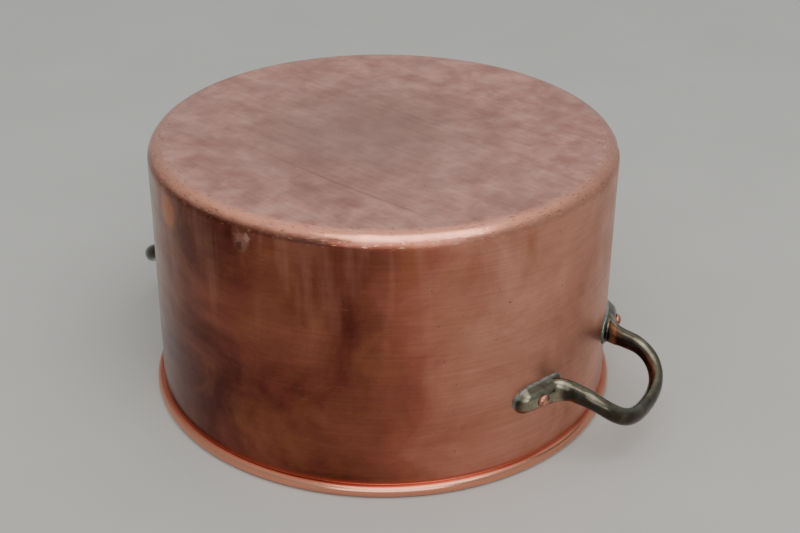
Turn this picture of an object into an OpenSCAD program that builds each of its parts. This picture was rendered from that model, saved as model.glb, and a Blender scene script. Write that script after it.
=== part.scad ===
// Two-handled copper stew pan, standing on its rolled rim with its base up.
// Origin: on the pan's axis, in the plane the rim rests on. +Z up through the base,
// +X through the middle between the handles' sides, so the right handle is at +X.

/* [Pan] */
// Outside diameter of the straight wall
pan_d = 240; // [160:5:320]
// Height from the rim's rest plane to the base
pan_h = 140; // [90:5:220]
// Thickness of the copper sheet
wall_t = 1.6; // [1:0.1:3]
// Outside radius of the bend from wall to base
corner_r = 8.3; // [5:0.1:20]
// Thickness of the tin lining
tin_t = 0.3; // [0.2:0.05:0.6]

/* [Rolled rim] */
// Thickness of the rolled bead from top to bottom
bead_d = 6.7; // [5:0.1:12]
// How far the bead stands out from the wall
bead_out = 3.6; // [2:0.1:8]
// Open seam between the rolled edge and the wall
seam_w = 0.3; // [0.2:0.05:1]
// Room round the wire inside the roll
wire_room = 0.05; // [0.02:0.01:0.2]

/* [Handles] */
// Degrees that each handle sits off the straight line across the pan
handle_off = 1.8; // [0:0.1:10]
// Height of the right handle's rivets above the rest plane
handle_z = 40.8; // [28:0.1:80]
// How much higher the left handle is riveted
left_lift = 3.5; // [0:0.5:10]
// Distance between the middles of a grip's two arms
grip_w = 60.4; // [40:0.2:90]
// How far the middle of the bar reaches out from the wall
grip_out = 33.2; // [26:0.1:60]
// How far a grip drops towards the rim at its outer end
grip_drop = 15.7; // [0:0.1:22]
// Diameter of the bar in the arms
bar_d = 8.4; // [5:0.1:14]
// Height of the bar at its outer end
crown_h = 9.8; // [5:0.1:14]
// Thickness of the bar at its outer end, away from the pan
crown_t = 6.8; // [4:0.1:12]

/* [Pads] */
// Length of a pad along the wall
pad_l = 33; // [24:0.5:50]
// How far a pad's middle sits from its rivet, towards the grip
pad_in = 1.5; // [0:0.5:4]
// Width of a pad
pad_w = 15.5; // [12:0.5:24]
// Thickness of a pad at its rivet
pad_t = 6; // [4:0.1:8]
// Thickness of a pad at its edge, under the bevel
pad_edge_t = 3; // [1.5:0.1:4]
// Width of the bevel round a pad
pad_bevel = 3.4; // [1:0.1:4]

/* [Rivets] */
// How far a rivet sits outwards from the middle of its arm
rivet_out = 12.8; // [11:0.1:20]
// Diameter of the shank
shank_d = 5; // [3:0.1:8]
// Diameter of the domed outside head
head_d = 6.6; // [5:0.1:12]
// Height of the outside head
head_h = 2.6; // [1:0.1:4]
// Diameter of the low head inside the pan
inner_head_d = 13; // [7:0.5:20]
// Height of the low head inside the pan
inner_head_h = 1.8; // [0.8:0.1:4]
// Room round the shank, on the diameter
rivet_room = 0.1; // [0.04:0.02:0.3]

/* [Hidden] */
$fn = 96;
wall_r = pan_d / 2;
bead_r = bead_d / 2;
bead_x = wall_r + bead_out - bead_r;
wire_r = bead_r - wall_t;
inside_r = wall_r - wall_t - tin_t;
tin_low_z = bead_d + 1;
// Directions of the two handles and of a rivet, seen from its handle's middle
rivet_span = grip_w + 2 * rivet_out;
right_az = handle_off;
left_az = 180 - handle_off;
rivet_az = asin(rivet_span / 2 / wall_r);
pad_az = asin((rivet_span / 2 - pad_in) / wall_r);
// An inside head touches the curved lining at its two sides, so it sits a little in from it
inner_seat = sqrt(pow(inside_r, 2) - pow(inner_head_d / 2, 2));
// A pad's face is cut flat under the rivet head
spot_depth = 0.6;
spot_r = wall_r + pad_t - spot_depth;
spot_d = head_d + 1;
// The bar grows out of the pad in a bend, runs straight for a little, then turns in a full loop
bend_r = 12;
bend_turn = 70;
bend_out = 6.6;
arm_run = 4.9;
arm_x = grip_w / 2;
arm_y = wall_r + bend_out;
loop_y = arm_y + arm_run;
crown_y = wall_r + grip_out;
loop_full = 0.75;
drop_power = 3.2;
root_y = sqrt(pow(wall_r, 2) - pow(arm_x, 2));
left_z = handle_z + left_lift;
// How far the shank runs on inside each of its heads
head_bite = 0.2;
// How far a rivet hole is cut to each side of the wall
hole_reach = 15;
neck_w = 14.4;
neck_t = 2.9;
bend_steps = 9;
taper_steps = 14;
loop_steps = 18;
bar_sides = 16;
copper = [0.72, 0.42, 0.3];
rivet_copper = [0.8, 0.5, 0.38];
bronze = [0.3, 0.27, 0.2];
tin = [0.75, 0.75, 0.72];
iron = [0.35, 0.35, 0.35];

// Outline of the pan's outside, from its axis, shrunk by a thickness
module pan_outline(inset) {
    square([wall_r - corner_r, pan_h - inset]);
    square([wall_r - inset, pan_h - corner_r]);
    translate([wall_r - corner_r, pan_h - corner_r]) circle(corner_r - inset);
}

// What lies above a height, for the profiles
module above(z) {
    translate([0, z]) square([pan_d, pan_h * 2]);
}

module copper_profile() {
    difference() {
        union() {
            intersection() {
                pan_outline(0);
                above(bead_r);
            }
            translate([bead_x, bead_r]) circle(bead_r);
        }
        difference() {
            pan_outline(wall_t);
            translate([bead_x, bead_r]) circle(bead_r);
        }
        translate([bead_x, bead_r]) circle(wire_r + wire_room);
        translate([wall_r, bead_r]) square([seam_w, bead_d]);
    }
}

// One rivet hole, from inside the pan out through the pad
module rivet_hole(az, z) {
    rotate([0, 0, az])
        translate([wall_r - hole_reach, 0, z])
            rotate([0, 90, 0])
                cylinder(d = shank_d + rivet_room, h = 2 * hole_reach);
}

module rivet_holes() {
    for (side = [-1, 1]) {
        rivet_hole(right_az + side * rivet_az, handle_z);
        rivet_hole(left_az + side * rivet_az, left_z);
    }
}

module copper_body() {
    color(copper)
        difference() {
            rotate_extrude() copper_profile();
            rivet_holes();
        }
}

module rim_wire() {
    color(iron)
        rotate_extrude()
            translate([bead_x, bead_r]) circle(wire_r);
}

module tin_lining() {
    color(tin)
        difference() {
            rotate_extrude()
                intersection() {
                    difference() {
                        pan_outline(wall_t);
                        pan_outline(wall_t + tin_t);
                    }
                    above(tin_low_z);
                }
            rivet_holes();
        }
}

// An oval ring of points round a centre, in the plane of two directions
function ring(centre, side, up, half_w, half_t) = [
    for (i = [0 : bar_sides - 1])
        let (turn = 360 * (i + 0.5) / bar_sides)
            centre + side * half_w * cos(turn) + up * half_t * sin(turn)
];

// A closed solid through a row of rings, which run round the direction of travel
module skin(rings) {
    count = len(rings[0]);
    last = len(rings) - 1;
    points = [for (r = rings) each r];
    start_cap = [for (i = [0 : count - 1]) i];
    end_cap = [for (i = [count - 1 : -1 : 0]) last * count + i];
    walls = [
        for (j = [0 : last - 1])
            for (i = [0 : count - 1])
                let (k = (i + 1) % count)
                    [(j + 1) * count + i, (j + 1) * count + k, j * count + k, j * count + i]
    ];
    polyhedron(points, concat([start_cap], walls, [end_cap]), convexity = 8);
}

// A handle is drawn with its middle on +Y: x runs along the wall and y away from the pan
function bend_point(t) =
    let (turn = 180 + bend_turn * (1 - t))
        [arm_x + bend_r * (1 + cos(turn)), arm_y + bend_r * sin(turn)];
function bezier(a, b, c, d, t) =
    a * pow(1 - t, 3) + b * 3 * t * pow(1 - t, 2) + c * 3 * t * t * (1 - t) + d * pow(t, 3);
function loop_point(t) = bezier(
    [arm_x, loop_y],
    [arm_x, loop_y + loop_full * (crown_y - loop_y)],
    [loop_full * arm_x, crown_y],
    [0, crown_y],
    t
);
plan = concat(
    [for (i = [0 : bend_steps]) bend_point(i / bend_steps)],
    [for (i = [0 : loop_steps]) loop_point(i / loop_steps)]
);
middle = len(plan) - 1;
// The grip drops gently along its arms and steeply at its outer end
function drop_at(y) = grip_drop * pow(max(0, y - root_y) / (crown_y - root_y), drop_power);
function plan_point(i) = i <= middle ? plan[i] : [-plan[2 * middle - i][0], plan[2 * middle - i][1]];
path = [for (i = [0 : 2 * middle]) let (p = plan_point(i)) [p[0], p[1], -drop_at(p[1])]];
// The bar is tall and thin at the neck, round in the arm and an upright oval at the crown
function blend(a, b, t) = a + (b - a) * min(1, max(0, t));
function ease(t) = t * t * (3 - 2 * t);
function from_end(i) = min(i, 2 * middle - i);
function neck_part(i, steps) = ease(min(1, from_end(i) / steps));
function crown_part(i) = (from_end(i) - bend_steps) / loop_steps;
function bar_size(i, at_neck, at_crown, steps) =
    blend(blend(at_neck, bar_d, neck_part(i, steps)), at_crown, crown_part(i)) / 2;
function unit(v) = v / norm(v);
function heading(i) = unit(path[min(i + 1, 2 * middle)] - path[max(i - 1, 0)]);

module bar() {
    skin([
        for (i = [0 : 2 * middle])
            let (out = unit(cross(heading(i), [0, 0, 1])), up = cross(out, heading(i)))
                ring(
                    path[i], up, out,
                    bar_size(i, neck_w, crown_h, taper_steps),
                    bar_size(i, neck_t, crown_t, bend_steps)
                )
    ]);
}

// A pad is a plate curved to the wall, with round ends and bevels along its edges
module pad_outline() {
    for (end = [-1, 1])
        translate([end * (pad_l - pad_w) / 2, 0]) circle(d = pad_w);
    square([pad_l - pad_w, pad_w], center = true);
}

// A plate's section from edge to edge, with a bevel along each side of its face
function bevelled(half, root, edge, face) = [
    [-half, root],
    [-half, edge],
    [-half + pad_bevel, face],
    [half - pad_bevel, face],
    [half, edge],
    [half, root]
];

module pad(side) {
    end_y = sqrt(pow(wall_r, 2) - pow(pad_l / 2, 2));
    rotate([0, 0, -side * pad_az])
        intersection() {
            rotate_extrude()
                polygon([
                    for (p = bevelled(pad_w / 2, wall_r, wall_r + pad_edge_t, wall_r + pad_t))
                        [p[1], p[0]]
                ]);
            rotate([-90, 0, 0]) linear_extrude(2 * wall_r) pad_outline();
            linear_extrude(2 * pad_w, center = true)
                polygon(bevelled(pad_l / 2, 0, end_y + pad_edge_t, wall_r + pad_t));
        }
}

module handle(az, z) {
    color(bronze)
        difference() {
            translate([0, 0, z])
                rotate([0, 0, az - 90])
                    union() {
                        bar();
                        pad(-1);
                        pad(1);
                    }
            for (side = [-1, 1]) {
                rivet_hole(az + side * rivet_az, z);
                rotate([0, 0, az + side * rivet_az])
                    translate([spot_r, 0, z])
                        rotate([0, 90, 0])
                            cylinder(d = spot_d, h = pad_t);
            }
        }
}

module handle_right() {
    handle(right_az, handle_z);
}

module handle_left() {
    handle(left_az, left_z);
}

// Half the outline of a domed head of some width and height, standing on the x axis
module dome_outline(width, height) {
    ball_r = (pow(width / 2, 2) + pow(height, 2)) / 2 / height;
    intersection() {
        translate([0, height - ball_r]) circle(ball_r);
        square([width, height]);
    }
}

// Half the outline of a rivet along y: the shank, the dome outside and the low head inside
module rivet_outline() {
    translate([0, inner_seat - head_bite])
        square([shank_d / 2, spot_r - inner_seat + 2 * head_bite]);
    translate([0, spot_r]) dome_outline(head_d, head_h);
    translate([0, inner_seat]) mirror([0, 1]) dome_outline(inner_head_d, inner_head_h);
}

module rivet(az, z) {
    color(rivet_copper)
        rotate([0, 0, az])
            translate([0, 0, z])
                rotate([0, 90, 0])
                    rotate_extrude() rivet_outline();
}

copper_body();
rim_wire();
tin_lining();
handle_right();
handle_left();
rivet(right_az - rivet_az, handle_z);  // rivet_right_front
rivet(right_az + rivet_az, handle_z);  // rivet_right_rear
rivet(left_az + rivet_az, left_z);  // rivet_left_front
rivet(left_az - rivet_az, left_z);  // rivet_left_rear
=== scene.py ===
import math

import bmesh
import bpy
from mathutils import Matrix, Vector, noise


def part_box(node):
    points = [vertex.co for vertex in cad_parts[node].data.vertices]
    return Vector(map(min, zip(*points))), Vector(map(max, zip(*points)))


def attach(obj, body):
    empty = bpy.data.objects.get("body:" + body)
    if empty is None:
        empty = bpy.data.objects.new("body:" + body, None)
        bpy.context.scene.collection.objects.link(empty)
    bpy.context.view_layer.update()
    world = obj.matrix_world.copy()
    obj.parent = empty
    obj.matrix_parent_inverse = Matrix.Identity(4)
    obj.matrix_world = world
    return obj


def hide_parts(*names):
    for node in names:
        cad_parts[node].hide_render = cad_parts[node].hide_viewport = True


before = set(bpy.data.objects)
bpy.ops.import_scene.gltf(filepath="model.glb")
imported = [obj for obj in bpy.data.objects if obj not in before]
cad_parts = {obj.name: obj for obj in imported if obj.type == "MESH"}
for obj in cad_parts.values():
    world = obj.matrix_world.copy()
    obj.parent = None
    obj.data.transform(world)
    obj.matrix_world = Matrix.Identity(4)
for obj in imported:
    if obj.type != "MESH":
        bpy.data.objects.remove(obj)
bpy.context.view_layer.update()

# ---------------------------------------------------------------------------
# The pan: one piece of copper sheet, raised over a stake into a straight-sided pot, with the
# edge rolled outwards round an iron wire. It stands here on that roll, with its base up.
# The copper is long out of polish: brown on the wall, dull pink on the base, bright at the bend.
# ---------------------------------------------------------------------------
mm = 0.001
copper_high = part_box("copper_body")[1]
pan_h = copper_high.z
roll_r = 3.35 * mm
roll_out = 3.6 * mm
roll_inset = 0.04 * mm
roll_x = copper_high.x - roll_r - roll_inset
wall_r = copper_high.x - roll_out
sheet_t = 1.6 * mm
bend_r = 8.3 * mm
lathe_steps = 448
# How far the hammered sheet strays from true, on the wall and on the base
wall_wave = 0.3
wall_ripple = 0.08
base_wave = 0.16
base_ripple = 0.05
base_hollow = 0.7 * mm
wave_scale = 24
ripple_scale = 70


def arc(centre_x, centre_z, radius, start, end, steps):
    """Points along part of a circle in the XZ plane, angles in degrees."""
    made = []
    for i in range(steps + 1):
        turn = math.radians(start + (end - start) * i / steps)
        made.append((centre_x + radius * math.cos(turn), centre_z + radius * math.sin(turn)))
    return made


def straight(start, end, steps):
    """Points between two ends, both left out."""
    return [
        tuple(a + (b - a) * i / steps for a, b in zip(start, end))
        for i in range(1, steps)
    ]


def start_mesh(add, **sizes):
    """Adds a primitive with nothing else selected, and opens it for editing."""
    if bpy.context.object and bpy.context.object.mode == "EDIT":
        bpy.ops.object.mode_set(mode="OBJECT")
    bpy.ops.object.select_all(action="DESELECT")
    add(**sizes)
    bpy.ops.object.mode_set(mode="EDIT")
    bpy.ops.mesh.select_mode(type="VERT")
    return bpy.context.object


def finish_mesh(name, smooth=True):
    """Closes the open piece, sets its place into its mesh and names it."""
    bpy.ops.object.mode_set(mode="OBJECT")
    piece = bpy.context.object
    bpy.ops.object.transform_apply(location=True, rotation=True, scale=True)
    if smooth:
        bpy.ops.object.shade_smooth()
    piece.name = name
    piece.data.name = name
    return piece


def lathe(outline, steps):
    """Draws an outline from the axis back to the axis, spins it round Z and closes it."""
    piece = start_mesh(bpy.ops.mesh.primitive_plane_add, size=mm, location=(0, 0, 0))
    bpy.ops.mesh.merge(type="CENTER")
    first = Vector((outline[0][0], 0, outline[0][1]))
    bpy.ops.transform.translate(value=first)
    for (x0, z0), (x1, z1) in zip(outline, outline[1:]):
        step = {"value": (x1 - x0, 0, z1 - z0)}
        bpy.ops.mesh.extrude_region_move(TRANSFORM_OT_translate=step)
    bpy.ops.mesh.select_all(action="SELECT")
    bpy.ops.mesh.spin(
        steps=steps, angle=math.tau, center=(0, 0, 0), axis=(0, 0, 1), use_auto_merge=True
    )
    bpy.ops.mesh.select_all(action="SELECT")
    bpy.ops.mesh.remove_doubles(threshold=0.002 * mm)
    bpy.ops.mesh.normals_make_consistent(inside=False)
    return piece


outer_bend = arc(wall_r - bend_r, pan_h - bend_r, bend_r, 90, 0, 14)
roll_top = (wall_r, 2 * roll_r + 0.02 * mm)
outer_roll = arc(roll_x, roll_r, roll_r, 82, -180, 34)
inner_wall_r = wall_r - sheet_t
inner_bend = arc(wall_r - bend_r, pan_h - bend_r, bend_r - sheet_t, 0, 90, 6)
pan_outline = (
    [(0, pan_h)]
    + straight((0, pan_h), outer_bend[0], 32)
    + outer_bend
    + straight(outer_bend[-1], roll_top, 68)
    + [roll_top, (wall_r + 0.12 * mm, 2 * roll_r - 0.22 * mm)]
    + outer_roll
    + [(inner_wall_r, 2 * roll_r)]
    + straight((inner_wall_r, 2 * roll_r), inner_bend[0], 12)
    + inner_bend
    + straight(inner_bend[-1], (0, pan_h - sheet_t), 8)
    + [(0, pan_h - sheet_t)]
)
lathe(pan_outline, lathe_steps)
pan_shell = finish_mesh("pan_shell")

# Hand work: the sheet is never quite even, and years of use have dinged the bend
dents = [
    # place, how wide, how deep
    (Vector((1.2, -119.8, 128.6)) * mm, 7.5 * mm, 1.2 * mm),
    (Vector((4.6, -119.0, 131.0)) * mm, 4.5 * mm, 0.8 * mm),
    (Vector((-4.6, -119.0, 132.5)) * mm, 4.5 * mm, 0.5 * mm),
    (Vector((-30.0, -116.5, 134.5)) * mm, 6.0 * mm, 0.25 * mm),
    (Vector((60.0, -104.0, 135.0)) * mm, 8.0 * mm, 0.3 * mm),
    (Vector((98.0, -69.0, 92.0)) * mm, 9.0 * mm, 0.25 * mm),
    (Vector((104.0, 60.0, 134.0)) * mm, 7.0 * mm, 0.35 * mm),
    (Vector((-70.0, 97.0, 80.0)) * mm, 12.0 * mm, 0.4 * mm),
]
for vertex in pan_shell.data.vertices:
    at = vertex.co
    across = math.hypot(at.x, at.y)
    if at.z < 2 * roll_r + 0.5 * mm or across < 0.1 * mm and at.z < pan_h - 0.5 * mm:
        continue
    outside = across > wall_r - 0.5 * mm or at.z > pan_h - 0.6 * mm or (
        math.hypot(across - wall_r + bend_r, at.z - pan_h + bend_r) > bend_r - 0.5 * mm
        and across > wall_r - bend_r and at.z > pan_h - bend_r
    )
    if not outside:
        continue
    inward = Vector((-at.x, -at.y, 0)).normalized() if across > 0 else Vector((0, 0, 0))
    top_part = max(0.0, min(1.0, (at.z - pan_h + bend_r) / bend_r))
    side_part = 1 - top_part * (1 - max(0.0, min(1.0, (across - wall_r + bend_r) / bend_r)))
    wave = 0.5 + 0.5 * noise.noise(at * wave_scale)
    ripple = 0.5 + 0.5 * noise.noise(at * ripple_scale + Vector((5, 0, 0)))
    # The wall runs true where it meets the roll
    fade = max(0.0, min(1.0, (at.z - 2 * roll_r) / (20 * mm)))
    push = inward * side_part * fade * (wall_wave * wave + wall_ripple * ripple) * mm
    hollow = base_hollow * max(0.0, 1 - (across / (wall_r - bend_r)) ** 2)
    uneven = (base_wave * wave + base_ripple * ripple) * mm
    push.z -= top_part * (hollow * (1 - side_part * 0.5) + uneven)
    for place, width, depth in dents:
        near = (at - place).length / width
        if near < 1:
            push += (inward - Vector((0, 0, top_part))) * depth * (1 - near * near) ** 2
    vertex.co = at + push
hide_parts("copper_body")
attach(pan_shell, "root")


def linear(code):
    """A colour from its sRGB hex, as linear light."""
    parts = [int(code[i : i + 2], 16) / 255 for i in (1, 3, 5)]
    return [c / 12.92 if c <= 0.04045 else ((c + 0.055) / 1.055) ** 2.4 for c in parts] + [1]


def node(tree, kind, settings=None, inputs=None):
    """Adds a node. An input is a plain value, or a node or socket that is linked to it."""
    made = tree.nodes.new("ShaderNode" + kind)
    for name, value in (settings or {}).items():
        setattr(made, name, value)
    for name, value in (inputs or {}).items():
        if isinstance(value, bpy.types.Node):
            value = value.outputs[0]
        if isinstance(value, bpy.types.NodeSocket):
            tree.links.new(value, made.inputs[name])
        else:
            made.inputs[name].default_value = value
    return made


def new_finish(name):
    """A material with an empty tree, and its output."""
    finish = bpy.data.materials.new(name)
    finish.use_nodes = True
    tree = finish.node_tree
    tree.nodes.clear()
    return finish, tree, node(tree, "OutputMaterial")


# Aged copper, hammered, planished and once polished round and round: a dark red-brown skin of
# oxide on the wall, thin and pinkish on the base, rubbed through to bright metal at the bend
# and along the roll, with smears, fine rings from polishing and stray scratches. The wall's dark
# tone is partly that oxide and partly painted shade standing in for a dark reflection in the wall.
copper, tree, end = new_finish("aged_copper")
place = node(tree, "TexCoord").outputs["Object"]
split = node(tree, "SeparateXYZ", {}, {0: place})
height = split.outputs["Z"]
level = node(tree, "VectorMath", {"operation": "MULTIPLY"}, {0: place, 1: (1, 1, 0)})
radius = node(tree, "VectorMath", {"operation": "LENGTH"}, {0: level}).outputs["Value"]
heading = node(tree, "VectorMath", {"operation": "NORMALIZE"}, {0: level})
# How far down the sheet a point is, from the middle of the base over the bend to the rim
down = node(tree, "Math", {"operation": "SUBTRACT"}, {0: pan_h, 1: height})
run = node(tree, "Math", {"operation": "ADD"}, {0: radius, 1: down})

is_base = node(
    tree, "MapRange", {"interpolation_type": "SMOOTHSTEP"},
    {"Value": height, "From Min": pan_h - 3.5 * mm, "From Max": pan_h - 0.9 * mm},
)
patches = node(
    tree, "TexNoise", {},
    {"Vector": place, "Scale": 17, "Detail": 6, "Roughness": 0.62, "Distortion": 0.5},
)
mottle = node(
    tree, "TexNoise", {},
    {"Vector": place, "Scale": 75, "Detail": 7, "Roughness": 0.6, "Distortion": 0.2},
)
# Polishing rings about 1 mm apart, which run round the pan
ring_heading = node(tree, "VectorMath", {"operation": "SCALE"}, {0: heading, "Scale": 2.6})
ring_step = node(tree, "Math", {"operation": "MULTIPLY"}, {0: run, 1: 850})
ring_place = node(tree, "CombineXYZ", {}, {"Z": ring_step})
ring_place = node(tree, "VectorMath", {"operation": "ADD"}, {0: ring_heading, 1: ring_place})
rings = node(
    tree, "TexNoise", {}, {"Vector": ring_place, "Scale": 1, "Detail": 4, "Roughness": 0.55}
)
band_step = node(tree, "Math", {"operation": "MULTIPLY"}, {0: run, 1: 130})
band_place = node(tree, "CombineXYZ", {}, {"Z": band_step})
band_place = node(tree, "VectorMath", {"operation": "ADD"}, {0: ring_heading, 1: band_place})
bands = node(
    tree, "TexNoise", {}, {"Vector": band_place, "Scale": 1, "Detail": 3, "Roughness": 0.5}
)
# Scratches in four directions, each a thin slice through long stretched noise
scratches = None
for turn, keep in ((-12, 0.72), (34, 0.735), (-58, 0.745), (81, 0.74)):
    lined = node(
        tree, "Mapping", {"vector_type": "TEXTURE"},
        {"Vector": place, "Rotation": (0, 0, math.radians(turn)), "Scale": (0.11, 0.0023, 0.0023)},
    )
    cut = node(tree, "TexNoise", {}, {"Vector": lined, "Scale": 1, "Detail": 1})
    line = node(
        tree, "MapRange", {}, {"Value": cut.outputs[0], "From Min": keep, "From Max": keep + 0.03}
    )
    scratches = line if scratches is None else node(
        tree, "Math", {"operation": "MAXIMUM"}, {0: scratches, 1: line}
    )
# The base has been scoured to and fro, in strokes 2 to 3 mm apart
strokes = node(
    tree, "Mapping", {"vector_type": "TEXTURE"},
    {"Vector": place, "Rotation": (0, 0, math.radians(-11)), "Scale": (0.09, 0.0026, 0.02)},
)
strokes = node(tree, "TexNoise", {}, {"Vector": strokes, "Scale": 1, "Detail": 4, "Roughness": 0.6})
rings = node(tree, "Mix", {}, {0: is_base, 2: rings, 3: strokes})
# One long old score across the base
score_side = node(
    tree, "VectorMath", {"operation": "DOT_PRODUCT"}, {0: place, 1: (0.161, 0.987, 0)}
).outputs["Value"]
score_bow = node(tree, "TexNoise", {}, {"Vector": place, "Scale": 14, "Detail": 1})
score_bow = node(tree, "Math", {"operation": "MULTIPLY"}, {0: score_bow, 1: 5 * mm})
score_off = node(tree, "Math", {"operation": "ADD"}, {0: score_side, 1: 64.0 * mm})
score_off = node(tree, "Math", {"operation": "SUBTRACT"}, {0: score_off, 1: score_bow})
score_off = node(tree, "Math", {"operation": "ABSOLUTE"}, {0: score_off})
score = node(
    tree, "MapRange", {},
    {"Value": score_off, "From Min": 0.2 * mm, "From Max": 1.0 * mm, "To Min": 1, "To Max": 0},
)
score = node(tree, "Math", {"operation": "MULTIPLY"}, {0: score, 1: is_base})
# It is deep for 60 mm, and only a trace beyond
score_along = node(
    tree, "VectorMath", {"operation": "DOT_PRODUCT"}, {0: place, 1: (0.987, -0.161, 0)}
).outputs["Value"]
score_along = node(tree, "Math", {"operation": "SUBTRACT"}, {0: score_along, 1: 44 * mm})
score_along = node(tree, "Math", {"operation": "ABSOLUTE"}, {0: score_along})
score_deep = node(
    tree, "MapRange", {"interpolation_type": "SMOOTHSTEP"},
    {"Value": score_along, "From Min": 24 * mm, "From Max": 42 * mm, "To Min": 1, "To Max": 0.12},
)
score = node(tree, "Math", {"operation": "MULTIPLY"}, {0: score, 1: score_deep})

# Wear: bright on the outside of the bend and on the roll
bend_off = node(tree, "Math", {"operation": "SUBTRACT"}, {0: run, 1: wall_r - 1.5 * mm})
bend_off = node(tree, "Math", {"operation": "ABSOLUTE"}, {0: bend_off})
bend_wear = node(
    tree, "MapRange", {"interpolation_type": "SMOOTHSTEP"},
    {"Value": bend_off, "From Min": 1.5 * mm, "From Max": 6.8 * mm, "To Min": 1, "To Max": 0},
)
roll_wear = node(
    tree, "MapRange", {"interpolation_type": "SMOOTHSTEP"},
    {"Value": height, "From Min": 5.0 * mm, "From Max": 7.4 * mm, "To Min": 1, "To Max": 0},
)
wear_noise = node(
    tree, "MapRange", {}, {"Value": mottle, "From Min": 0.3, "From Max": 0.6, "To Min": 0.5}
)
wear = node(tree, "Math", {"operation": "MULTIPLY"}, {0: bend_wear, 1: wear_noise})

# The wall is darker towards -X and lighter towards +X: partly thicker oxide on the side that faced
# the fire, partly a painted reflection, with painted shade on the -X side and painted light towards
# +X
light_side_and_thin_oxide = node(
    tree, "VectorMath", {"operation": "DOT_PRODUCT"}, {0: heading, 1: (0.92, 0.39, 0)}
).outputs["Value"]
light_side_and_thin_oxide = node(
    tree, "MapRange", {"interpolation_type": "SMOOTHSTEP"},
    {"Value": light_side_and_thin_oxide, "From Min": -0.15, "From Max": 0.8},
)
thin_oxide_and_painted_light = node(tree, "Math", {"operation": "MULTIPLY"}, {0: light_side_and_thin_oxide, 1: 0.62})
blotch = node(
    tree, "MapRange", {}, {"Value": patches, "From Min": 0.3, "From Max": 0.7, "To Max": 0.42}
)
thin_oxide_and_painted_light = node(tree, "Math", {"operation": "ADD", "use_clamp": True}, {0: thin_oxide_and_painted_light, 1: blotch})
# The ramp's dark end is darker than the oxide alone: painted shade standing in for a dark reflection
wall_colour = node(
    tree, "ValToRGB", {}, {"Fac": thin_oxide_and_painted_light}
)
ramp = wall_colour.color_ramp
ramp.elements[0].position = 0.05
ramp.elements[0].color = linear("#5A2820")
ramp.elements[1].position = 0.95
ramp.elements[1].color = linear("#D0927C")
middle_stop = ramp.elements.new(0.5)
middle_stop.color = linear("#A05D4A")
# Thin golden film where the heat reached, in soft clouds, and cleaner streaks wiped downwards
film = node(
    tree, "TexNoise", {},
    {"Vector": place, "Scale": 31, "Detail": 5, "Roughness": 0.55, "Distortion": 1.2},
)
film = node(
    tree, "MapRange", {}, {"Value": film, "From Min": 0.5, "From Max": 0.7, "To Max": 0.28}
)
wall_colour = node(
    tree, "Mix", {"data_type": "RGBA"}, {"Factor": film, 6: wall_colour, 7: linear("#A0683F")}
).outputs[2]
wipe_heading = node(tree, "VectorMath", {"operation": "SCALE"}, {0: heading, "Scale": 13})
wipe_step = node(tree, "Math", {"operation": "MULTIPLY"}, {0: height, 1: 14})
wipe_place = node(tree, "CombineXYZ", {}, {"Z": wipe_step})
wipe_place = node(tree, "VectorMath", {"operation": "ADD"}, {0: wipe_heading, 1: wipe_place})
wiped = node(
    tree, "TexNoise", {}, {"Vector": wipe_place, "Scale": 1, "Detail": 3, "Roughness": 0.5}
)
wiped = node(
    tree, "MapRange", {}, {"Value": wiped, "From Min": 0.52, "From Max": 0.75, "To Max": 0.19}
)
wiped_low = node(
    tree, "MapRange", {}, {"Value": height, "From Min": 0.05, "From Max": 0.125}
)
wiped = node(tree, "Math", {"operation": "MULTIPLY"}, {0: wiped, 1: wiped_low})
wall_colour = node(
    tree, "Mix", {"data_type": "RGBA"}, {"Factor": wiped, 6: wall_colour, 7: linear("#DDA48C")}
).outputs[2]
wall_colour = node(
    tree, "Mix", {"data_type": "RGBA"}, {"Factor": roll_wear, 6: wall_colour, 7: linear("#DF987B")}
).outputs[2]
# A painted reflection: a red line in the corner over the roll, in place of light bounced between the
# wall and the roll
corner_off = node(tree, "Math", {"operation": "SUBTRACT"}, {0: height, 1: 7.0 * mm})
corner_off = node(tree, "Math", {"operation": "ABSOLUTE"}, {0: corner_off})
painted_roll_corner_reflection = node(
    tree, "MapRange", {"interpolation_type": "SMOOTHSTEP"},
    {"Value": corner_off, "From Min": 0.3 * mm, "From Max": 1.6 * mm, "To Min": 0.5, "To Max": 0},
)
wall_colour = node(
    tree, "Mix", {"data_type": "RGBA"}, {"Factor": painted_roll_corner_reflection, 6: wall_colour, 7: linear("#B8432A")}
).outputs[2]
base_colour = node(
    tree, "ValToRGB", {}, {"Fac": mottle}
)
ramp = base_colour.color_ramp
ramp.elements[0].position = 0.3
ramp.elements[0].color = linear("#D08D7E")
ramp.elements[1].position = 0.72
ramp.elements[1].color = linear("#E9B0A0")
middle_stop = ramp.elements.new(0.5)
middle_stop.color = linear("#DD9E8E")
# The flame has left a darker, browner patch round the middle of the base, with ragged edges
scorch = node(
    tree, "VectorMath", {"operation": "DISTANCE"}, {0: level, 1: (-0.012, -0.008, 0)}
).outputs["Value"]
scorch_edge = node(tree, "Math", {"operation": "MULTIPLY"}, {0: patches, 1: 0.12})
scorch = node(tree, "Math", {"operation": "ADD"}, {0: scorch, 1: scorch_edge})
redder = node(
    tree, "MapRange", {}, {"Value": mottle, "From Min": 0.58, "From Max": 0.32, "To Max": 0.4}
)
base_colour = node(
    tree, "Mix", {"data_type": "RGBA"}, {"Factor": redder, 6: base_colour, 7: linear("#C07A6C")}
).outputs[2]
scorch = node(
    tree, "MapRange", {"interpolation_type": "SMOOTHSTEP"},
    {"Value": scorch, "From Min": 0.07, "From Max": 0.16, "To Min": 0.75, "To Max": 0.0},
)
base_colour = node(
    tree, "Mix", {"data_type": "RGBA"},
    {"Factor": scorch, 6: base_colour, 7: linear("#B08276")},
).outputs[2]
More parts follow.
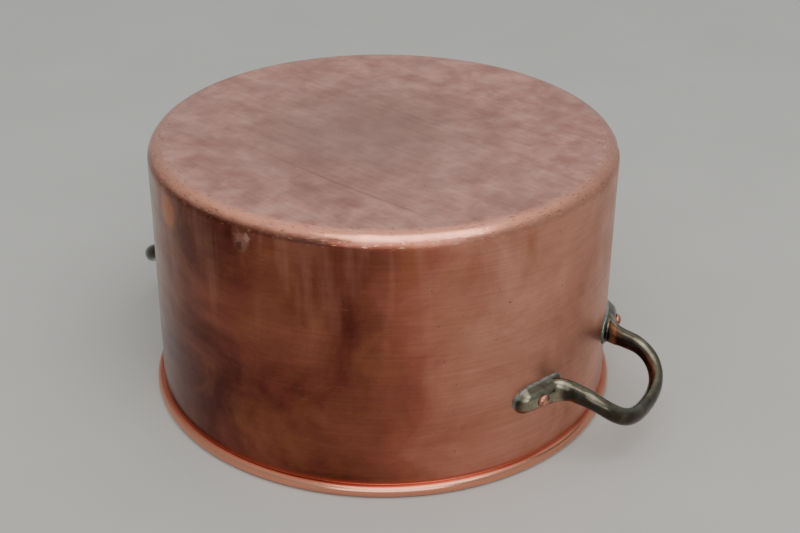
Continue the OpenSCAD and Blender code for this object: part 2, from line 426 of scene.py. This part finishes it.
base_patch = node(
    tree, "MapRange", {}, {"Value": patches, "From Min": 0.42, "From Max": 0.68, "To Max": 0.4}
)
base_colour = node(
    tree, "Mix", {"data_type": "RGBA"},
    {"Factor": base_patch, 6: base_colour, 7: linear("#D8AEA2")},
).outputs[2]
skin = node(
    tree, "Mix", {"data_type": "RGBA"}, {"Factor": is_base, 6: wall_colour, 7: base_colour}
).outputs[2]
ring_tone = node(
    tree, "MapRange", {},
    {"Value": rings, "From Min": 0.3, "From Max": 0.7, "To Min": 0.92, "To Max": 1.08},
)
skin = node(tree, "VectorMath", {"operation": "SCALE"}, {0: skin, "Scale": ring_tone})
skin = node(
    tree, "Mix", {"data_type": "RGBA"}, {"Factor": wear, 6: skin, 7: linear("#F2A184")}
).outputs[2]
scratch_room = node(tree, "MapRange", {}, {"Value": is_base, "To Min": 0.25, "To Max": 1.0})
scratches = node(tree, "Math", {"operation": "MULTIPLY"}, {0: scratches, 1: scratch_room})
marks = node(tree, "Math", {"operation": "MULTIPLY"}, {0: scratches, 1: 0.16})
skin = node(
    tree, "Mix", {"data_type": "RGBA"}, {"Factor": marks, 6: skin, 7: linear("#E0B4A0")}
).outputs[2]
speck_noise = node(tree, "TexNoise", {}, {"Vector": place, "Scale": 430, "Detail": 2})
specks = node(
    tree, "MapRange", {}, {"Value": speck_noise, "From Min": 0.7, "From Max": 0.75}
)
speck_room = node(
    tree, "MapRange", {}, {"Value": patches, "From Min": 0.45, "From Max": 0.6, "To Max": 0.6}
)
specks = node(tree, "Math", {"operation": "MULTIPLY"}, {0: specks, 1: speck_room})
skin = node(
    tree, "Mix", {"data_type": "RGBA"}, {"Factor": specks, 6: skin, 7: linear("#4E4744")}
).outputs[2]
# Nicks and stray bright scores round the bend, from being set down and stacked: 1 to 5 mm long
nick_heading = node(tree, "VectorMath", {"operation": "SCALE"}, {0: heading, "Scale": 34})
nick_step = node(tree, "Math", {"operation": "MULTIPLY"}, {0: run, 1: 900})
nick_place = node(tree, "CombineXYZ", {}, {"Z": nick_step})
nick_place = node(tree, "VectorMath", {"operation": "ADD"}, {0: nick_heading, 1: nick_place})
nick_noise = node(tree, "TexNoise", {}, {"Vector": nick_place, "Scale": 1, "Detail": 2})
nick_room = node(
    tree, "MapRange", {"interpolation_type": "SMOOTHSTEP"},
    {"Value": bend_off, "From Min": 3 * mm, "From Max": 11 * mm, "To Min": 0.6, "To Max": 0},
)
for least, most, tone in ((0.6, 0.72, "#F9C4AC"), (0.38, 0.3, "#7A4C3E")):
    nicks = node(
        tree, "MapRange", {}, {"Value": nick_noise, "From Min": least, "From Max": most}
    )
    nicks = node(tree, "Math", {"operation": "MULTIPLY"}, {0: nicks, 1: nick_room})
    skin = node(
        tree, "Mix", {"data_type": "RGBA"}, {"Factor": nicks, 6: skin, 7: linear(tone)}
    ).outputs[2]
score_fade = node(
    tree, "MapRange", {},
    {"Value": patches, "From Min": 0.4, "From Max": 0.58, "To Min": 0.14, "To Max": 0.36},
)
score_dark = node(tree, "Math", {"operation": "MULTIPLY"}, {0: score, 1: score_fade})
skin = node(
    tree, "Mix", {"data_type": "RGBA"}, {"Factor": score_dark, 6: skin, 7: linear("#5E3B33")}
).outputs[2]

# Painted light round the knock under the bend: painted highlights above and to the right of it and
# painted shade below it, and beside it an amber patch that is a painted reflection
for centre, size, strength, tone in (
    ((0.6, -120.0, 127.6), 5.4, 0.26, "#D29C8E"),
    ((3.0, -120.0, 129.4), 3.0, 0.3, "#E4B0A0"),
    ((-0.6, -120.0, 125.2), 2.4, 0.6, "#331B18"),
    ((-54.0, -107.2, 123.0), 11.0, 0.5, "#CC7430"),
):
    painted_light_spot = node(
        tree, "VectorMath", {"operation": "DISTANCE"},
        {0: place, 1: tuple(Vector(centre) * mm)},
    ).outputs["Value"]
    ragged = node(tree, "Math", {"operation": "MULTIPLY"}, {0: speck_noise, 1: 5 * mm})
    painted_light_spot = node(tree, "Math", {"operation": "ADD"}, {0: painted_light_spot, 1: ragged})
    painted_light_spot = node(
        tree, "MapRange", {"interpolation_type": "SMOOTHSTEP"},
        {
            "Value": painted_light_spot, "From Min": (0.5 * size + 2.5) * mm, "From Max": (size + 2.5) * mm,
            "To Min": strength, "To Max": 0,
        },
    )
    skin = node(
        tree, "Mix", {"data_type": "RGBA"}, {"Factor": painted_light_spot, 6: skin, 7: linear(tone)}
    ).outputs[2]

rough = node(
    tree, "MapRange", {},
    {"Value": bands, "From Min": 0.3, "From Max": 0.7, "To Min": 0.17, "To Max": 0.26},
)
rough_thin = node(tree, "Math", {"operation": "MULTIPLY"}, {0: light_side_and_thin_oxide, 1: 0.18})
rough = node(tree, "Math", {"operation": "ADD"}, {0: rough, 1: rough_thin})
rough_base = node(
    tree, "MapRange", {},
    {"Value": mottle, "From Min": 0.3, "From Max": 0.7, "To Min": 0.36, "To Max": 0.52},
)
rough = node(tree, "Mix", {}, {0: is_base, 2: rough, 3: rough_base})
rough = node(tree, "Mix", {}, {0: wear, 2: rough, 3: 0.22})
rough = node(tree, "Mix", {}, {0: roll_wear, 2: rough, 3: 0.2})

relief = node(tree, "Math", {"operation": "MULTIPLY"}, {0: rings, 1: 0.5})
cuts = node(tree, "Math", {"operation": "MULTIPLY"}, {0: scratches, 1: 0.35})
relief = node(tree, "Math", {"operation": "SUBTRACT"}, {0: relief, 1: cuts})
cuts = node(tree, "Math", {"operation": "MULTIPLY"}, {0: score, 1: 0.4})
relief = node(tree, "Math", {"operation": "SUBTRACT"}, {0: relief, 1: cuts})
fine_bump = node(
    tree, "Bump", {}, {"Strength": 0.35, "Distance": 0.04 * mm, "Height": relief}
)
soft_bump = node(
    tree, "Bump", {}, {"Strength": 0.5, "Distance": 0.25 * mm, "Height": mottle, "Normal": fine_bump}
)
metal = node(
    tree, "BsdfPrincipled", {},
    {"Base Color": skin, "Metallic": 1.0, "Roughness": rough, "Normal": soft_bump},
)
tree.links.new(metal.outputs[0], end.inputs["Surface"])
pan_shell.data.materials.append(copper)

# ---------------------------------------------------------------------------
# The lining: tin wiped molten over the inside of the copper, left with soft streaks where the
# cloth went round. It has gone grey, and the copper shows through a little where it is thin.
# ---------------------------------------------------------------------------
tin, tree, end = new_finish("wiped_tin")
place = node(tree, "TexCoord").outputs["Object"]
wipes = node(
    tree, "Mapping", {}, {"Vector": place, "Scale": (18, 18, 260)}
)
streaks = node(tree, "TexNoise", {}, {"Vector": wipes, "Scale": 1, "Detail": 5, "Roughness": 0.6})
clouds = node(tree, "TexNoise", {}, {"Vector": place, "Scale": 26, "Detail": 5, "Distortion": 0.6})
tin_colour = node(tree, "ValToRGB", {}, {"Fac": clouds})
ramp = tin_colour.color_ramp
ramp.elements[0].position = 0.32
ramp.elements[0].color = linear("#8D8A86")
ramp.elements[1].position = 0.7
ramp.elements[1].color = linear("#BDBBB6")
bare = node(
    tree, "MapRange", {}, {"Value": streaks, "From Min": 0.62, "From Max": 0.78, "To Max": 0.4}
)
tin_skin = node(
    tree, "Mix", {"data_type": "RGBA"}, {"Factor": bare, 6: tin_colour, 7: linear("#A97F6C")}
).outputs[2]
tin_rough = node(
    tree, "MapRange", {},
    {"Value": streaks, "From Min": 0.3, "From Max": 0.7, "To Min": 0.34, "To Max": 0.52},
)
tin_bump = node(
    tree, "Bump", {}, {"Strength": 0.3, "Distance": 0.1 * mm, "Height": streaks}
)
metal = node(
    tree, "BsdfPrincipled", {},
    {"Base Color": tin_skin, "Metallic": 1.0, "Roughness": tin_rough, "Normal": tin_bump},
)
tree.links.new(metal.outputs[0], end.inputs["Surface"])
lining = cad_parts["tin_lining"]
lining.data.materials.clear()
lining.data.materials.append(tin)

# ---------------------------------------------------------------------------
# The wire: a hoop of drawn iron closed inside the roll, which stiffens the mouth.
# It has a dark scale with a little rust.
# ---------------------------------------------------------------------------
iron, tree, end = new_finish("drawn_iron")
place = node(tree, "TexCoord").outputs["Object"]
rust = node(tree, "TexNoise", {}, {"Vector": place, "Scale": 300, "Detail": 6, "Roughness": 0.7})
iron_colour = node(tree, "ValToRGB", {}, {"Fac": rust})
ramp = iron_colour.color_ramp
ramp.elements[0].position = 0.4
ramp.elements[0].color = linear("#4A4846")
ramp.elements[1].position = 0.66
ramp.elements[1].color = linear("#6B4A38")
iron_rough = node(
    tree, "MapRange", {},
    {"Value": rust, "From Min": 0.3, "From Max": 0.7, "To Min": 0.4, "To Max": 0.7},
)
iron_bump = node(tree, "Bump", {}, {"Strength": 0.4, "Distance": 0.05 * mm, "Height": rust})
metal = node(
    tree, "BsdfPrincipled", {},
    {"Base Color": iron_colour, "Metallic": 0.85, "Roughness": iron_rough, "Normal": iron_bump},
)
tree.links.new(metal.outputs[0], end.inputs["Surface"])
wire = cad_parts["rim_wire"]
wire.data.materials.clear()
wire.data.materials.append(iron)

# ---------------------------------------------------------------------------
# The handles: each one casting in bronze, a bent grip with a boat-shaped pad at each foot,
# filed by hand at the pads and riveted through the wall. The bronze is nearly black in the
# hollows and rubbed to a yellow brown where hands and cloths reach it, and its upper side is
# lighter, partly from that rubbing and partly a painted highlight.
# ---------------------------------------------------------------------------
handle_az = 1.8
handle_z = {"right": 40.8 * mm, "left": 44.3 * mm}
arm_x = 30.2 * mm
neck_bend_r = 12 * mm
neck_turn = 70
arm_y = wall_r + 6.6 * mm
loop_y = wall_r + 11.5 * mm
crown_y = wall_r + 33.1 * mm
root_y = math.sqrt(wall_r**2 - arm_x**2)
grip_drop = 15.7 * mm
drop_power = 3.2
bar_r = 4.2 * mm
crown_half_h = 4.9 * mm
crown_half_t = 3.4 * mm
neck_half_h = 7.2 * mm
neck_half_t = 3.0 * mm
pad_l = 33 * mm
pad_w = 15.5 * mm
pad_t = 6 * mm
pad_edge_t = 0.9 * mm
pad_root = 1.2 * mm
pad_bevels = ((1.9, 2.1), (1.7, 1.8), (1.8, 0.9))
rivet_x = 43 * mm
pad_x = 41.5 * mm
neck_steps = 14
taper_steps = 22
loop_steps = 30


def grip_plan():
    """Points along half the grip's middle line, from the wall to the crown, seen from above."""
    made = []
    for i in range(neck_steps + 1):
        turn = math.radians(180 + neck_turn * (1 - i / neck_steps))
        made.append(
            (arm_x + neck_bend_r * (1 + math.cos(turn)), arm_y + neck_bend_r * math.sin(turn))
        )
    corners = (
        (arm_x, loop_y),
        (arm_x, loop_y + 0.75 * (crown_y - loop_y)),
        (0.75 * arm_x, crown_y),
        (0, crown_y),
    )
    for i in range(1, loop_steps + 1):
        t = i / loop_steps
        parts = ((1 - t) ** 3, 3 * t * (1 - t) ** 2, 3 * t * t * (1 - t), t**3)
        made.append(tuple(sum(p * c[k] for p, c in zip(parts, corners)) for k in (0, 1)))
    return made


half_plan = grip_plan()
whole_plan = half_plan + [(-x, y) for x, y in reversed(half_plan[:-1])]
grip_line = []
for x, y in whole_plan:
    out_part = max(0.0, y - root_y) / (crown_y - root_y)
    grip_line.append(Vector((x, y, -grip_drop * out_part**drop_power)))

# The grip is a tube drawn along that line, then pressed tall and thin at its two necks
bpy.ops.object.select_all(action="DESELECT")
bpy.ops.curve.primitive_bezier_curve_add(location=(0, 0, 0))
bar_curve = bpy.context.object
bar_curve.data.splines.clear()
spline = bar_curve.data.splines.new("POLY")
spline.points.add(len(grip_line) - 1)
for point, at in zip(spline.points, grip_line):
    point.co = (*at, 1)
bar_curve.data.dimensions = "3D"
bar_curve.data.twist_mode = "Z_UP"
bar_curve.data.bevel_depth = 1 * mm
bar_curve.data.bevel_resolution = 8
bar_curve.data.use_fill_caps = True
bpy.ops.object.convert(target="MESH")
bar = bpy.context.object
last = len(grip_line) - 1
for vertex in bar.data.vertices:
    nearest = min(range(last + 1), key=lambda i: (grip_line[i] - vertex.co).length)
    centre = grip_line[nearest]
    along = (grip_line[min(nearest + 1, last)] - grip_line[max(nearest - 1, 0)]).normalized()
    side = along.cross(Vector((0, 0, 1))).normalized()
    up = side.cross(along)
    offset = (vertex.co - centre) / mm
    from_end = min(nearest, last - nearest)
    t = min(1.0, from_end / taper_steps)
    t = t * t * (3 - 2 * t)
    filled = min(1.0, from_end / 7)
    crown_part = max(0.0, (from_end - neck_steps) / loop_steps)
    tall = bar_r + (crown_half_h - bar_r) * crown_part
    deep = bar_r + (crown_half_t - bar_r) * crown_part
    tall = neck_half_h + (tall - neck_half_h) * t
    deep = neck_half_t + (deep - neck_half_t) * filled
    vertex.co = (
        centre
        + up * offset.dot(up) * tall
        + side * offset.dot(side) * deep
        + along * offset.dot(along) * mm
    )
bar.name = "bar"

# A pad starts as a block, rounded at its ends and bevelled to its face, then bent to the wall
pads = []
for hand in (-1, 1):
    pad = start_mesh(bpy.ops.mesh.primitive_cube_add, size=1, location=(0, 0, 0))
    bpy.ops.transform.resize(value=(pad_l, pad_edge_t + pad_root, pad_w))
    bpy.ops.transform.translate(value=(0, (pad_edge_t - pad_root) / 2, 0))
    bpy.ops.mesh.select_mode(type="EDGE")
    mesh = bmesh.from_edit_mesh(pad.data)
    for edge in mesh.edges:
        a, b = (v.co for v in edge.verts)
        edge.select_set(abs(a.y - b.y) > mm)
    bmesh.update_edit_mesh(pad.data)
    bpy.ops.mesh.bevel(offset=pad_w / 2 - 0.2 * mm, segments=10, affect="EDGES")
    bpy.ops.mesh.select_mode(type="FACE")
    mesh = bmesh.from_edit_mesh(pad.data)
    for face in mesh.faces:
        face.select_set(face.normal.y > 0.9)
    bmesh.update_edit_mesh(pad.data)
    for inset, rise in pad_bevels:
        bpy.ops.mesh.inset(thickness=inset * mm, depth=rise * mm)
    bpy.ops.mesh.select_all(action="SELECT")
    bpy.ops.mesh.quads_convert_to_tris()
    bpy.ops.mesh.subdivide(number_cuts=3)
    bpy.ops.object.mode_set(mode="OBJECT")
    for vertex in pad.data.vertices:
        at = vertex.co
        out = at.x * hand / (pad_l / 2)
        tip = max(0.0, out)
        heel = max(0.0, min(1.0, (-out - 0.25) / 0.6))
        lift = max(0.0, at.y / pad_t)
        narrowed = at.z * (1 - 0.16 * tip**2)
        lowered = at.y * (1 - 0.5 * heel) - 1.0 * mm * tip**2 * lift
        turn = (hand * pad_x + at.x) / wall_r
        reach = wall_r + lowered
        vertex.co = Vector((reach * math.sin(turn), reach * math.cos(turn), narrowed))
    pads.append(pad)

bpy.ops.object.select_all(action="DESELECT")
for piece in [bar] + pads:
    piece.select_set(True)
bpy.context.view_layer.objects.active = bar
bpy.ops.object.join()
casting = bpy.context.object
weld = casting.modifiers.new("weld", "REMESH")
weld.mode = "VOXEL"
weld.voxel_size = 0.42 * mm
bpy.ops.object.modifier_apply(modifier="weld")
fettle = casting.modifiers.new("fettle", "SMOOTH")
fettle.factor = 0.5
fettle.iterations = 12
bpy.ops.object.modifier_apply(modifier="fettle")
# The back is bedded on the wall, just inside its uneven face
back_r = wall_r - 0.5 * mm
for vertex in casting.data.vertices:
    across = math.hypot(vertex.co.x, vertex.co.y)
    if across < back_r:
        vertex.co.xy *= back_r / across

# Bronze with an old patina: yellow metal under a dark brown skin, thickest in the hollows,
# glossy from handling, with a fine cast grain all over and a pale blue-grey band along the wall.
bronze, tree, end = new_finish("cast_bronze")
place = node(tree, "TexCoord").outputs["Object"]
patina = node(
    tree, "TexNoise", {},
    {"Vector": place, "Scale": 120, "Detail": 6, "Roughness": 0.65, "Distortion": 0.4},
)
cast_grain = node(
    tree, "TexNoise", {}, {"Vector": place, "Scale": 1500, "Detail": 3, "Roughness": 0.7}
)
# The upper side is lighter: partly rubbed by hands and cloths, partly a painted highlight for light
# from above
facing = node(tree, "NewGeometry").outputs["Normal"]
upward = node(tree, "SeparateXYZ", {}, {0: facing}).outputs["Z"]
rubbed_and_painted_highlight = node(
    tree, "MapRange", {"interpolation_type": "SMOOTHSTEP"},
    {"Value": upward, "From Min": 0.1, "From Max": 1.0, "To Max": 0.4},
)
rubbed_noise = node(
    tree, "MapRange", {}, {"Value": patina, "From Min": 0.3, "From Max": 0.65, "To Min": 0.35}
)
rubbed_and_painted_highlight = node(tree, "Math", {"operation": "MULTIPLY"}, {0: rubbed_and_painted_highlight, 1: rubbed_noise})
# The face of each pad has been filed and wiped: a yellower metal, 4 to 6 mm out from the wall
level = node(tree, "VectorMath", {"operation": "MULTIPLY"}, {0: place, 1: (1, 1, 0)})
reach = node(tree, "VectorMath", {"operation": "LENGTH"}, {0: level}).outputs["Value"]
face_off = node(tree, "Math", {"operation": "SUBTRACT"}, {0: reach, 1: wall_r + 5.2 * mm})
face_off = node(tree, "Math", {"operation": "ABSOLUTE"}, {0: face_off})
face_worn = node(
    tree, "MapRange", {"interpolation_type": "SMOOTHSTEP"},
    {"Value": face_off, "From Min": 0.4 * mm, "From Max": 3.4 * mm, "To Min": 0.8, "To Max": 0},
)
face_worn = node(tree, "Math", {"operation": "MULTIPLY"}, {0: face_worn, 1: rubbed_noise})
rubbed_and_painted_highlight = node(tree, "Math", {"operation": "MAXIMUM"}, {0: rubbed_and_painted_highlight, 1: face_worn})
bronze_colour = node(tree, "ValToRGB", {}, {"Fac": patina})
ramp = bronze_colour.color_ramp
ramp.elements[0].position = 0.3
ramp.elements[0].color = linear("#2B2721")
ramp.elements[1].position = 0.72
ramp.elements[1].color = linear("#5B5246")
middle_stop = ramp.elements.new(0.52)
middle_stop.color = linear("#3F3830")
bronze_skin = node(
    tree, "Mix", {"data_type": "RGBA"}, {"Factor": rubbed_and_painted_highlight, 6: bronze_colour, 7: linear("#A89E86")}
).outputs[2]
# A pale blue-grey band along the joint with the wall, in patches, dull and not metallic
green_reach = node(tree, "Math", {"operation": "MULTIPLY"}, {0: patina, 1: 1.6 * mm})
green_reach = node(tree, "Math", {"operation": "ADD"}, {0: green_reach, 1: reach})
pale_joint_band = node(
    tree, "MapRange", {"interpolation_type": "SMOOTHSTEP"},
    {
        "Value": green_reach, "From Min": wall_r + 1.0 * mm, "From Max": wall_r + 2.4 * mm,
        "To Min": 0.65, "To Max": 0,
    },
)
green_patch = node(
    tree, "MapRange", {}, {"Value": patina, "From Min": 0.4, "From Max": 0.56, "To Min": 0.3}
)
pale_joint_band = node(tree, "Math", {"operation": "MULTIPLY"}, {0: pale_joint_band, 1: green_patch})
bronze_skin = node(
    tree, "Mix", {"data_type": "RGBA"}, {"Factor": pale_joint_band, 6: bronze_skin, 7: linear("#8CA5AA")}
).outputs[2]
bronze_metal = node(tree, "Math", {"operation": "SUBTRACT"}, {0: 1.0, 1: pale_joint_band})
bronze_rough = node(
    tree, "MapRange", {},
    {"Value": patina, "From Min": 0.3, "From Max": 0.7, "To Min": 0.22, "To Max": 0.13},
)
bronze_rough = node(tree, "Mix", {}, {0: pale_joint_band, 2: bronze_rough, 3: 0.6})
grain_bump = node(tree, "Bump", {}, {"Strength": 0.25, "Distance": 0.05 * mm, "Height": cast_grain})
bronze_bump = node(
    tree, "Bump", {}, {"Strength": 0.4, "Distance": 0.3 * mm, "Height": patina, "Normal": grain_bump}
)
metal = node(
    tree, "BsdfPrincipled", {},
    {
        "Base Color": bronze_skin, "Metallic": bronze_metal, "Roughness": bronze_rough,
        "Normal": bronze_bump,
    },
)
tree.links.new(metal.outputs[0], end.inputs["Surface"])

handles = {}
for side_name, azimuth in (("right", handle_az), ("left", 180 - handle_az)):
    bpy.ops.object.select_all(action="DESELECT")
    casting.select_set(True)
    bpy.context.view_layer.objects.active = casting
    bpy.ops.object.duplicate(linked=False)
    handle = bpy.context.object
    turn = Matrix.Rotation(math.radians(azimuth - 90), 4, "Z")
    handle.data.transform(Matrix.Translation((0, 0, handle_z[side_name])) @ turn)
    handle.name = "grip_" + side_name
    handle.data.name = handle.name
    handles[side_name] = handle
bpy.data.objects.remove(casting)

# Under each rivet head the pad is cut flat, a little wider than the head
spot_r = wall_r + pad_t - 0.6 * mm
spot_d = 7.6 * mm
rivet_turn = math.degrees(math.asin(rivet_x / wall_r))
rivets = {
    "rivet_right_front": (handle_az - rivet_turn, handle_z["right"]),
    "rivet_right_rear": (handle_az + rivet_turn, handle_z["right"]),
    "rivet_left_front": (180 - handle_az + rivet_turn, handle_z["left"]),
    "rivet_left_rear": (180 - handle_az - rivet_turn, handle_z["left"]),
}
for name, (azimuth, height_z) in rivets.items():
    handle = handles["right" if "right" in name else "left"]
    turn = Matrix.Rotation(math.radians(azimuth), 4, "Z")
    start_mesh(
        bpy.ops.mesh.primitive_cylinder_add, vertices=48, radius=spot_d / 2, depth=pad_t,
        location=(0, 0, 0),
    )
    cutter = finish_mesh("cutter")
    lay_out = Matrix.Rotation(math.radians(90), 4, "Y")
    where = Matrix.Translation((spot_r + pad_t / 2, 0, height_z))
    cutter.data.transform(turn @ where @ lay_out)
    cut = handle.modifiers.new("spot", "BOOLEAN")
    cut.object = cutter
    cut.operation = "DIFFERENCE"
    cut.solver = "EXACT"
    bpy.ops.object.select_all(action="DESELECT")
    handle.select_set(True)
    bpy.context.view_layer.objects.active = handle
    bpy.ops.object.modifier_apply(modifier="spot")
    bpy.data.objects.remove(cutter)
for side_name, handle in handles.items():
    bpy.ops.object.select_all(action="DESELECT")
    handle.select_set(True)
    bpy.context.view_layer.objects.active = handle
    bpy.ops.object.shade_smooth_by_angle(angle=math.radians(38))
    handle.data.materials.clear()
    handle.data.materials.append(bronze)
    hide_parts("handle_" + side_name)
    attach(handle, "root")

# ---------------------------------------------------------------------------
# The rivets: soft copper, pushed through from the inside and hammered over on the pad, so that
# each outside head is a small uneven dome. The low broad heads are inside the pan.
# ---------------------------------------------------------------------------
shank_r = 2.5 * mm
head_r = 3.3 * mm
head_h = 2.6 * mm
low_head_r = 6.5 * mm
low_head_h = 1.8 * mm
dome_steps = 8
dome_fullness = 0.9
lining_t = 0.3 * mm
inside_r = wall_r - sheet_t - lining_t
low_seat = math.sqrt(inside_r**2 - low_head_r**2)

quarter = [i / dome_steps * math.pi / 2 for i in range(1, dome_steps + 1)]
rivet_outline = [(0, low_seat - low_head_h)]
for turn in quarter:
    rivet_outline.append((low_head_r * math.sin(turn), low_seat - low_head_h * math.cos(turn)))
rivet_outline += [(shank_r, low_seat + 0.01 * mm), (shank_r, spot_r)]
rivet_outline += [(head_r, spot_r + 0.02 * mm)]
for turn in quarter:
    rise = math.sin(turn) ** dome_fullness
    rivet_outline.append((head_r * math.cos(turn), spot_r + head_h * rise))

# Copper of the rivets: softer and pinker than the sheet, in fine blotches of bright and brown
# tarnish
rivet_copper, tree, end = new_finish("hammered_rivet_copper")
place = node(tree, "TexCoord").outputs["Object"]
tarnish = node(
    tree, "TexNoise", {}, {"Vector": place, "Scale": 420, "Detail": 5, "Roughness": 0.65}
)
rivet_colour = node(tree, "ValToRGB", {}, {"Fac": tarnish})
ramp = rivet_colour.color_ramp
ramp.elements[0].position = 0.32
ramp.elements[0].color = linear("#8A5644")
ramp.elements[1].position = 0.62
ramp.elements[1].color = linear("#D79C85")
rivet_rough = node(
    tree, "MapRange", {},
    {"Value": tarnish, "From Min": 0.3, "From Max": 0.7, "To Min": 0.42, "To Max": 0.26},
)
rivet_bump = node(tree, "Bump", {}, {"Strength": 0.4, "Distance": 0.15 * mm, "Height": tarnish})
metal = node(
    tree, "BsdfPrincipled", {},
    {"Base Color": rivet_colour, "Metallic": 1.0, "Roughness": rivet_rough, "Normal": rivet_bump},
)
tree.links.new(metal.outputs[0], end.inputs["Surface"])

for index, (name, (azimuth, height_z)) in enumerate(rivets.items()):
    lathe(rivet_outline, 40)
    rivet = finish_mesh("headed_" + name)
    for vertex in rivet.data.vertices:
        at = vertex.co
        over = max(0.0, (at.z - spot_r) / head_h)
        blow = noise.noise(at * 380 + Vector((11.0 * index, 0, 0)))
        squash = 1 + 0.09 * blow * over
        sunk = 0.22 * mm * over * (0.5 + 0.5 * blow)
        vertex.co = Vector((at.x * squash, at.y * squash, at.z - sunk))
    lay_out = Matrix.Rotation(math.radians(90), 4, "Y")
    turn = Matrix.Rotation(math.radians(azimuth), 4, "Z")
    rivet.data.transform(turn @ Matrix.Translation((0, 0, height_z)) @ lay_out)
    rivet.data.materials.append(rivet_copper)
    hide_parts(name)
    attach(rivet, "root")

# ---------------------------------------------------------------------------
# The floor, the light and the camera
# ---------------------------------------------------------------------------
start_mesh(bpy.ops.mesh.primitive_plane_add, size=9, location=(0, 0, 0))
bpy.ops.mesh.subdivide(number_cuts=3)
floor = finish_mesh("floor", smooth=False)
plaster, tree, end = new_finish("pale_floor")
place = node(tree, "TexCoord").outputs["Object"]
dapple = node(tree, "TexNoise", {}, {"Vector": place, "Scale": 9, "Detail": 5})
floor_colour = node(tree, "ValToRGB", {}, {"Fac": dapple})
ramp = floor_colour.color_ramp
ramp.elements[0].position = 0.3
ramp.elements[0].color = linear("#B3AFA9")
ramp.elements[1].position = 0.7
ramp.elements[1].color = linear("#B8B4AE")
matt = node(tree, "BsdfPrincipled", {}, {"Base Color": floor_colour, "Roughness": 0.85})
tree.links.new(matt.outputs[0], end.inputs["Surface"])
floor.data.materials.append(plaster)

world = bpy.data.worlds.new("studio")
bpy.context.scene.world = world
world.use_nodes = True
tree = world.node_tree
sky = tree.nodes["Background"]
looking = node(tree, "TexCoord").outputs["Generated"]
steep = node(tree, "SeparateXYZ", {}, {0: looking}).outputs["Z"]
overcast = node(tree, "ValToRGB", {}, {"Fac": steep})
ramp = overcast.color_ramp
ramp.elements[0].position = 0.05
ramp.elements[0].color = linear("#A9B2B5")
ramp.elements[1].position = 0.85
ramp.elements[1].color = linear("#F4F7F8")
middle_stop = ramp.elements.new(0.5)
middle_stop.color = linear("#B9C3C6")
tree.links.new(overcast.outputs[0], sky.inputs["Color"])
sky.inputs["Strength"].default_value = 1.0


def soft_box(name, place, aim, size, power, colour):
    """An area light at a place, turned to face a point."""
    bpy.ops.object.select_all(action="DESELECT")
    bpy.ops.object.light_add(type="AREA", location=place)
    lamp = bpy.context.object
    lamp.name = name
    lamp.data.shape = "RECTANGLE"
    lamp.data.size, lamp.data.size_y = size
    lamp.data.energy = power
    lamp.data.color = linear(colour)[:3]
    lamp.rotation_euler = (Vector(aim) - Vector(place)).to_track_quat("-Z", "Y").to_euler()
    return lamp


soft_box("sky_light", (0.75, -0.6, 1.5), (0, 0, 0.05), (1.6, 1.3), 19, "#F6F8FA")
soft_box("front_light", (1.35, -1.85, 0.8), (0, 0, 0.1), (2.2, 1.1), 20, "#F2F6F8")

bpy.ops.object.select_all(action="DESELECT")
bpy.ops.object.camera_add(location=(0.3599, -0.5573, 0.4165))
camera = bpy.context.object
# It looks along this line, and leans half a degree
ahead = Vector((-0.4683, 0.7466, -0.4725)).normalized()
level_right = ahead.cross(Vector((0, 0, 1))).normalized()
level_up = level_right.cross(ahead)
lean = 0.009
right = level_right * math.cos(lean) + level_up * math.sin(lean)
up = level_up * math.cos(lean) - level_right * math.sin(lean)
camera.rotation_euler = Matrix((right, up, -ahead)).transposed().to_euler()
camera.data.sensor_width = 36
camera.data.lens = 63.13
camera.data.clip_start = 0.01
bpy.context.scene.camera = camera
